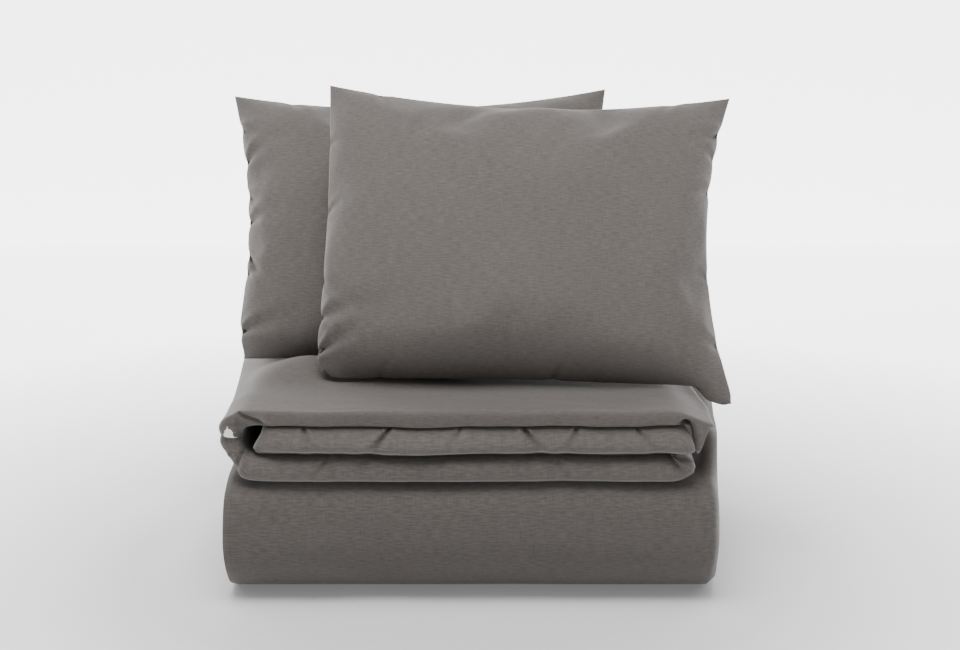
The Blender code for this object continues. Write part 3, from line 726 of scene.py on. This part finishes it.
def add_pillow(body, box, shape):
    """One filled case: simulated, evened out, creased at its edges, and seated."""
    case, index = flat_case(body + "_case", shape["seed"])
    simulate(case, pressure=3.5, frames=34)
    grid = np.array([vertex.co for vertex in case.data.vertices])[index]
    bpy.data.objects.remove(case, do_unlink=True)
    u, v = even_grid(*grid.shape[1:3], low=-1)
    rim = 1 - smooth(np.minimum(1 - np.abs(u), 1 - np.abs(v)), 0.0, 0.30)
    corner = smooth(np.abs(u), 0.86, 0.98) * smooth(np.abs(v), 0.82, 0.97)
    grid = settle(grid, (0.25 + 0.45 * rim) * (1 - 0.85 * corner), 12)
    grid = settle(grid, 0.6 * smooth(-v, 0.55, 0.85) * (1 - corner), 30)
    grid = finer(grid, 3)

    u, v = even_grid(*grid.shape[1:3], low=-1)
    low, high = grid.min((0, 1, 2)), grid.max((0, 1, 2))
    width = box[1].x - box[0].x
    grid = (grid - (low + high) / 2) * np.array([width, shape["height"], shape["thickness"]]) / (high - low)
    grid[..., :2] += outline_shift(grid, u, v, width / 2, shape["height"] / 2, shape["sags"])
    for way, (across, up, reach) in ((-1, shape["left_corner"]), (1, (0.006, 0.006, 0.014))):
        from_corner = np.hypot((1 - way * u) * CASE_WIDTH / 2, (1 + v) * CASE_HEIGHT / 2)
        rounded = np.exp(-(from_corner / reach) ** 2)
        grid[..., 0] -= way * across * rounded
        grid[..., 1] += up * rounded

    x, y = u * CASE_WIDTH / 2, v * CASE_HEIGHT / 2
    room = 1 - np.maximum(u ** 8, v ** 8)
    cloth = np.stack([x, y, 0 * x], axis=-1).reshape(-1, 3)
    for side, sign in ((0, 1), (1, -1)):
        slow = ripple(cloth, (7.0, 6.0, 1.0), shape["seed"] + side).reshape(x.shape)
        quick = ripple(cloth, (30.0, 18.0, 1.0), shape["seed"] + 9 * side).reshape(x.shape)
        grid[side, :, :, 2] += sign * room * (0.0035 * slow + 0.0010 * quick)
    edges = {"left": (y, CASE_WIDTH / 2 + x, (1, 0)), "right": (y, CASE_WIDTH / 2 - x, (-1, 0)),
             "foot": (x, CASE_HEIGHT / 2 + y, (0, 1)), "top": (x, CASE_HEIGHT / 2 - y, (0, -1))}
    for edge, *crease in shape["puckers"]:
        along, inward, pull = edges[edge]
        grid = pucker(grid, along, inward, crease, pull)

    uv_grid = np.stack([x, y], axis=-1)
    case, _ = sewn_mesh(body + "_case", lean_pillow(grid, u, v, box, shape), uv_grid, FABRIC)
    pad(case, body, "cover_fabric", ["case_front_panel", "case_back_panel", "case_flap"])
    thin = slice(None, None, 3)
    within = grid[:, thin, thin] * PILLOW_FILLING_SHARE
    filling = lean_pillow(within, u[thin, thin], v[thin, thin], box, shape)
    inner, _ = sewn_mesh(body + "_filling", filling, uv_grid[thin, thin], CASING)
    pad(inner, body, "casing_fabric",
        ["casing_front_panel", "casing_back_panel", "wadding", "care_label"])


# sags: how far the left, right, foot and top edges are drawn in at their middles.
# Each pucker: the edge it starts from, where along it, how it leans, how far it reaches and how deep it is.
FRONT_PILLOW = {
    "seed": 11.0, "height": 0.493, "thickness": 0.165, "roll": radians(1.9), "lift": -0.002, "droop": 0.021,
    "seat_y": FRONT_PILLOW_BOX[0].y + 0.050, "sags": (0.008, 0.038, 0.010, 0.030),
    "left_corner": (0.013, 0.013, 0.024),
    "puckers": (("left", -0.205, 0.55, 0.075, 0.009), ("left", -0.150, 0.30, 0.085, 0.010),
                ("left", -0.085, -0.30, 0.060, 0.007),
                ("left", 0.030, 0.20, 0.035, 0.004), ("left", 0.150, -0.20, 0.030, 0.004),
                ("right", 0.185, -0.35, 0.050, 0.009), ("right", 0.140, 0.15, 0.040, 0.006),
                ("right", 0.085, -0.20, 0.045, 0.008), ("right", -0.060, 0.10, 0.030, 0.004),
                ("right", -0.170, 0.30, 0.040, 0.005), ("foot", 0.050, 0.40, 0.030, 0.008),
                ("foot", -0.24, 0.50, 0.030, 0.006), ("top", -0.26, 0.30, 0.035, 0.005),
                ("top", 0.25, -0.40, 0.040, 0.005)),
}
BACK_PILLOW = {
    "seed": 47.0, "height": 0.488, "thickness": 0.165, "roll": radians(-1.15), "lift": -0.006, "droop": 0.0,
    "seat_y": BACK_PILLOW_BOX[0].y + 0.045, "sags": (0.027, 0.020, 0.010, 0.030),
    "left_corner": (0.022, 0.004, 0.045),
    "puckers": (("left", 0.185, -0.40, 0.060, 0.009), ("left", 0.120, 0.25, 0.060, 0.011),
                ("left", 0.060, -0.35, 0.050, 0.009), ("left", 0.010, 0.10, 0.060, 0.011),
                ("left", -0.050, -0.50, 0.055, 0.011), ("left", -0.085, 0.15, 0.050, 0.007),
                ("left", -0.190, 0.35, 0.070, 0.010), ("top", -0.24, 0.50, 0.040, 0.006)),
}


# ---------------------------------------------------------------- zips and labels
# The zips and the labels of the folded set look along +Y.
STITCH_PITCH = 0.0036
STITCH_ROWS = (0.30, 0.62)      # shares of the tape's height
LABEL_STITCH_PITCH = 0.0026
LOOP_PITCH = 0.0014


def joined(parts):
    """One list of points and one of faces, from several."""
    verts, faces = [], []
    for part_verts, part_faces in parts:
        faces += [tuple(corner + len(verts) for corner in face) for face in part_faces]
        verts += [tuple(vert) for vert in part_verts]
    return verts, faces


def bar(points, radius, sides, across, closed=False):
    """A round bar along a line of points; across is a direction that the line never runs along."""
    points = np.asarray(points, float)
    count = len(points)
    if closed:
        ahead = np.roll(points, -1, 0) - np.roll(points, 1, 0)
    else:
        ahead = np.gradient(points, axis=0)
    ahead /= np.linalg.norm(ahead, axis=1)[:, None]
    first = np.cross(ahead, across)
    first /= np.linalg.norm(first, axis=1)[:, None]
    second = np.cross(ahead, first)
    turn = 2 * pi * np.arange(sides) / sides
    rings = points[:, None] + radius * (np.cos(turn)[None, :, None] * first[:, None]
                                        + np.sin(turn)[None, :, None] * second[:, None])
    faces = []
    for ring in range(count if closed else count - 1):
        after = (ring + 1) % count
        for side in range(sides):
            beside = (side + 1) % sides
            faces.append((ring * sides + side, ring * sides + beside,
                          after * sides + beside, after * sides + side))
    if not closed:
        faces.append(tuple(reversed(range(sides))))
        faces.append(tuple(range((count - 1) * sides, count * sides)))
    return rings.reshape(-1, 3), faces


def plate(outline, near, far, bevel):
    """A flat plate with softened edges, from its outline in x and z; near and far are its faces in y."""
    outline = np.asarray(outline, float)
    centre = outline.mean(0)
    drawn_in = centre + (outline - centre) * (1 - bevel / np.abs(outline - centre).max())
    count = len(outline)
    verts, faces = [], []
    for ring, y in ((drawn_in, near), (outline, near + bevel), (outline, far - bevel), (drawn_in, far)):
        verts += [(x, y, z) for x, z in ring]
    for level in range(3):
        for point in range(count):
            after = (point + 1) % count
            faces.append((level * count + point, level * count + after, (level + 1) * count + after,
                          (level + 1) * count + point))
    faces.append(tuple(reversed(range(count))))
    faces.append(tuple(range(3 * count, 4 * count)))
    return verts, faces


def rounded_outline(low, high, radius, taper=0.0):
    """A rectangle with round corners in x and z; taper narrows it towards its high x end."""
    points = []
    for sign_x, sign_z, start in ((1, 1, 0), (-1, 1, 90), (-1, -1, 180), (1, -1, 270)):
        x = high[0] - radius if sign_x > 0 else low[0] + radius
        z = high[1] - radius if sign_z > 0 else low[1] + radius
        for step in range(6):
            angle = radians(start + 18 * step)
            points.append((x + radius * cos(angle), z + radius * sin(angle)))
    points = np.array(points)
    middle = (low[1] + high[1]) / 2
    along = (points[:, 0] - low[0]) / (high[0] - low[0])
    points[:, 1] = middle + (points[:, 1] - middle) * (1 - taper * along)
    return points


def dress(node, name, made, material, body, slot):
    """A rigid piece made from points and faces, in the place of one node."""
    verts, faces = made
    stand_for(add_mesh(name, verts, faces, material), body, slot, node)


def stitch_row(low_x, high_x, pitch, steps, level, radius):
    """Stitches in a row along x; steps are the points of one stitch, as (way along, y)."""
    row = []
    for start in np.arange(low_x, high_x, pitch):
        run = [(start + step, y, level) for step, y in steps]
        row.append(bar(run, radius, 4, (0.0, 0.0, 1.0)))
    return row


def add_thread(name, stitches, body):
    """One piece of sewing thread from all its stitches."""
    verts, faces = joined(stitches)
    thread = add_mesh(name, verts, faces, THREAD)
    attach(thread, body)
    return thread


def add_tape(node, body):
    """A thin woven ribbon, sewn on with two rows of stitches."""
    low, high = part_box(node)
    along, across = even_grid(225, 9)
    x = low.x + along * (high.x - low.x)
    z = low.z + across * (high.z - low.z)
    flat = np.stack([x, z, 0 * x], axis=-1).reshape(-1, 3)
    wave = ripple(flat, (30.0, 200.0, 1.0), 5.0).reshape(x.shape)
    rim = (across <= 0) | (across >= 1) | (along <= 0) | (along >= 1)
    middle = high.y - 0.0003
    outer = middle + np.where(rim, 0.0, 0.00022 + 0.00006 * wave)
    inner = middle - np.where(rim, 0.0, 0.00022)
    grid = np.stack([np.stack([x, outer, z], -1), np.stack([x, inner, z], -1)])
    tape, _ = sewn_mesh(node + "_ribbon", grid, np.stack([x, z], axis=-1), TAPE)
    stand_for(tape, body, "zip_tape", node)
    under, over = high.y - 0.0003, high.y
    steps = ((0.0, under), (0.0006, over), (0.0018, over), (0.0024, under))
    ends = low.x + STITCH_PITCH, high.x - STITCH_PITCH
    stitches = []
    for share in STITCH_ROWS:
        level = low.z + share * (high.z - low.z)
        stitches += stitch_row(*ends, STITCH_PITCH, steps, level, 0.00017)
    add_thread(node + "_stitches", stitches, body)


def add_coil(node, body):
    """One side of a nylon coil: a thread wound round and round, as the real one is."""
    low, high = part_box(node)
    thick = 0.00030
    turns = int((high.x - low.x - 2 * thick) / LOOP_PITCH)
    share = np.linspace(0, 1, turns * 7 + 1)
    angle = 2 * pi * turns * share
    x = low.x + thick + share * (high.x - low.x - 2 * thick)
    y = (low.y + high.y) / 2 + ((high.y - low.y) / 2 - thick) * np.cos(angle)
    z = (low.z + high.z) / 2 + ((high.z - low.z) / 2 - thick) * np.sin(angle)
    loops = bar(np.stack([x, y, z], -1), thick, 5, (1.0, 0.0, 0.0))
    dress(node, node + "_loops", loops, COIL, body, "zip_coil")


def add_stop(node, body):
    """A metal clip pressed round both coils."""
    low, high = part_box(node)
    clip = plate(rounded_outline((low.x, low.z), (high.x, high.z), 0.0006), low.y, high.y, 0.0004)
    dress(node, node + "_clip", clip, METAL, body, "zip_metal")


def add_slider(node):
    """The body with its rails, and the bridge that the tab hangs from."""
    low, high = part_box(node)
    floor_top = low.y + 0.0011
    middle_x, middle_z = (low.x + high.x) / 2, (low.z + high.z) / 2
    bridge = 0.00065            # the radius of its wire
    shield = rounded_outline((low.x, low.z), (high.x, high.z), 0.0016)
    parts = [plate(shield, low.y, floor_top, 0.0003)]
    for sign in (-1, 1):
        edge = middle_z + sign * ((high.z - low.z) / 2 - 0.0007)
        rail = rounded_outline((low.x + 0.0010, edge - 0.0004), (high.x - 0.0010, edge + 0.0004), 0.00035)
        parts.append(plate(rail, floor_top - 0.0002, floor_top + 0.0007, 0.0002))
    rise = high.y - bridge - floor_top
    arch = [(middle_x - 0.0034 * cos(angle), floor_top - 0.0001 + rise * sin(angle), middle_z)
            for angle in np.linspace(0, pi, 13)]
    parts.append(bar(arch, bridge, 8, (0.0, 0.0, 1.0)))
    dress(node, node + "_body", joined(parts), METAL, node, "zip_metal")


def add_pull_tab(node):
    """A wire loop that passes under the bridge, with a plate at its far end to hold."""
    low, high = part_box(node)
    thick = (high.y - low.y) / 2
    level = (low.y + high.y) / 2
    loop = rounded_outline((low.x + thick, low.z + thick), (high.x - thick, high.z - thick), 0.0022,
                           taper=0.25)
    ring = bar([(x, level, z) for x, z in loop], thick, 8, (0.0, 1.0, 0.0), closed=True)
    grip_high = (low.x + 0.55 * (high.x - low.x), high.z - 0.0007)
    grip = rounded_outline((low.x + 0.0004, low.z + 0.0007), grip_high, 0.0018)
    held = plate(grip, level - 0.0003, level + 0.0003, 0.0001)
    dress(node, node + "_loop", joined([ring, held]), METAL, node, "zip_metal")


def add_care_label(node, body):
    """A blank satin label, sewn on along its top edge, with its lower edge curling off the cover."""
    low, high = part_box(node)
    along, up = even_grid(25, 19)
    down = 1 - up
    x = low.x + along * (high.x - low.x)
    z = low.z + (1 - down) * (high.z - low.z)
    curl = 0.0016 * down ** 2 + 0.0007 * down * np.sin(3.0 * along + 0.6)
    rim = (along <= 0) | (along >= 1) | (down <= 0) | (down >= 1)
    half = np.where(rim, 0.0, 0.00016)
    middle = high.y + curl
    grid = np.stack([np.stack([x, middle + half, z], -1), np.stack([x, middle - half, z], -1)])
    label, _ = sewn_mesh(node + "_satin", grid, np.stack([x, z], axis=-1), SATIN)
    stand_for(label, body, "label_satin", node)
    under, over = high.y, high.y + 0.0003
    steps = ((0.0, under), (0.0005, over), (0.0013, over), (0.0018, under))
    row = stitch_row(low.x + 0.0015, high.x - 0.0030, LABEL_STITCH_PITCH, steps, high.z - 0.0022, 0.00014)
    thread = add_thread(node + "_stitches", row, body)


def add_small_pieces():
    """The zip and the care label of each duvet cover."""
    for body in ("duvet", "light_duvet"):
        for side in ("upper", "lower"):
            add_tape(body + "_zip_" + side + "_tape", body)
            add_coil(body + "_zip_" + side + "_coil", body)
        add_stop(body + "_zip_closed_end_stop", body)
        add_stop(body + "_zip_open_end_stop", body)
        add_slider(body + "_zip_slider")
        add_pull_tab(body + "_zip_pull_tab")
        add_care_label(body + "_care_label", body)


# ---------------------------------------------------------------- studio
def add_area(name, place, target, size, power):
    light = bpy.data.lights.new(name, "AREA")
    light.shape = "RECTANGLE"
    light.size, light.size_y = size
    light.energy = power
    lamp = bpy.data.objects.new(name, light)
    bpy.context.scene.collection.objects.link(lamp)
    lamp.location = place
    lamp.rotation_euler = (Vector(target) - Vector(place)).to_track_quat("-Z", "Y").to_euler()


def stage_sheet(name, corners, material):
    mesh = bpy.data.meshes.new(name)
    mesh.from_pydata(corners, [], [(0, 1, 2, 3)])
    mesh.materials.append(material)
    sheet = bpy.data.objects.new(name, mesh)
    bpy.context.scene.collection.objects.link(sheet)


def add_studio():
    """A floor with painted shade, darker and barely glowing near the set, that turns paler and glows as
    painted light away from it; a white wall, a plain sky and one large lamp above.
    """
    floor = Nodes("studio_floor")
    place = floor.add("ShaderNodeTexCoord").outputs["Object"]
    length = floor.add("ShaderNodeVectorMath", operation="LENGTH")
    floor.link(place, length.inputs[0])
    # painted shade: 0 close round the set, rising to 1 far off
    far = floor.stretch(length.outputs["Value"], 0.55, 1.8)
    # the floor's colour: darker near the set as painted shade, pale far off
    floor.link(floor.mix(far, (0.66, 0.66, 0.66), (0.92, 0.92, 0.92)), floor.shader.inputs["Base Color"])
    # the floor glows, as painted light, faintly near the set and brightly far off
    floor.shader.inputs["Emission Color"].default_value = (1.0, 1.0, 1.0, 1.0)
    floor.link(floor.stretch(far, 0.0, 1.0, 0.15, 2.6), floor.shader.inputs["Emission Strength"])
    floor.shader.inputs["Roughness"].default_value = 0.9
    wall = Nodes("studio_wall")
    wall.shader.inputs["Base Color"].default_value = (0.8, 0.8, 0.8, 1.0)
    wall.shader.inputs["Emission Color"].default_value = (1.0, 1.0, 1.0, 1.0)
    wall.shader.inputs["Emission Strength"].default_value = 3.2
    wide, back, tall = 7.0, 3.5, 5.0
    level = -0.0005             # a hair below the set, which stands at zero
    stage_sheet("studio_floor", [(-wide, -wide, level), (wide, -wide, level), (wide, back, level),
                                 (-wide, back, level)], floor.material)
    stage_sheet("studio_wall", [(-wide, back, level), (wide, back, level), (wide, back, tall),
                                (-wide, back, tall)], wall.material)
    world = bpy.data.worlds.new("studio")
    world.use_nodes = True
    world.node_tree.nodes["Background"].inputs["Color"].default_value = (1.0, 1.0, 1.0, 1.0)
    world.node_tree.nodes["Background"].inputs["Strength"].default_value = 0.27
    bpy.context.scene.world = world
    add_area("key", (-0.25, -0.55, 2.98), (0.0, 0.0, 0.3), (2.0, 1.6), 115)


def add_camera():
    """The front, seen from a little above."""
    turned_down = 11.64
    camera = bpy.data.cameras.new("camera")
    camera.lens = 51.8
    camera.sensor_width = 36.0
    obj = bpy.data.objects.new("camera", camera)
    bpy.context.scene.collection.objects.link(obj)
    obj.location = (0.014, DUVET_BOX[0].y - 1.952, 0.83)
    obj.rotation_euler = (radians(90 - turned_down), 0.0, 0.0)
    bpy.context.scene.camera = obj


add_camera()
add_studio()
add_duvet()
add_light_duvet()
add_pillow("front_pillow", FRONT_PILLOW_BOX, FRONT_PILLOW)
add_pillow("back_pillow", BACK_PILLOW_BOX, BACK_PILLOW)
add_small_pieces()
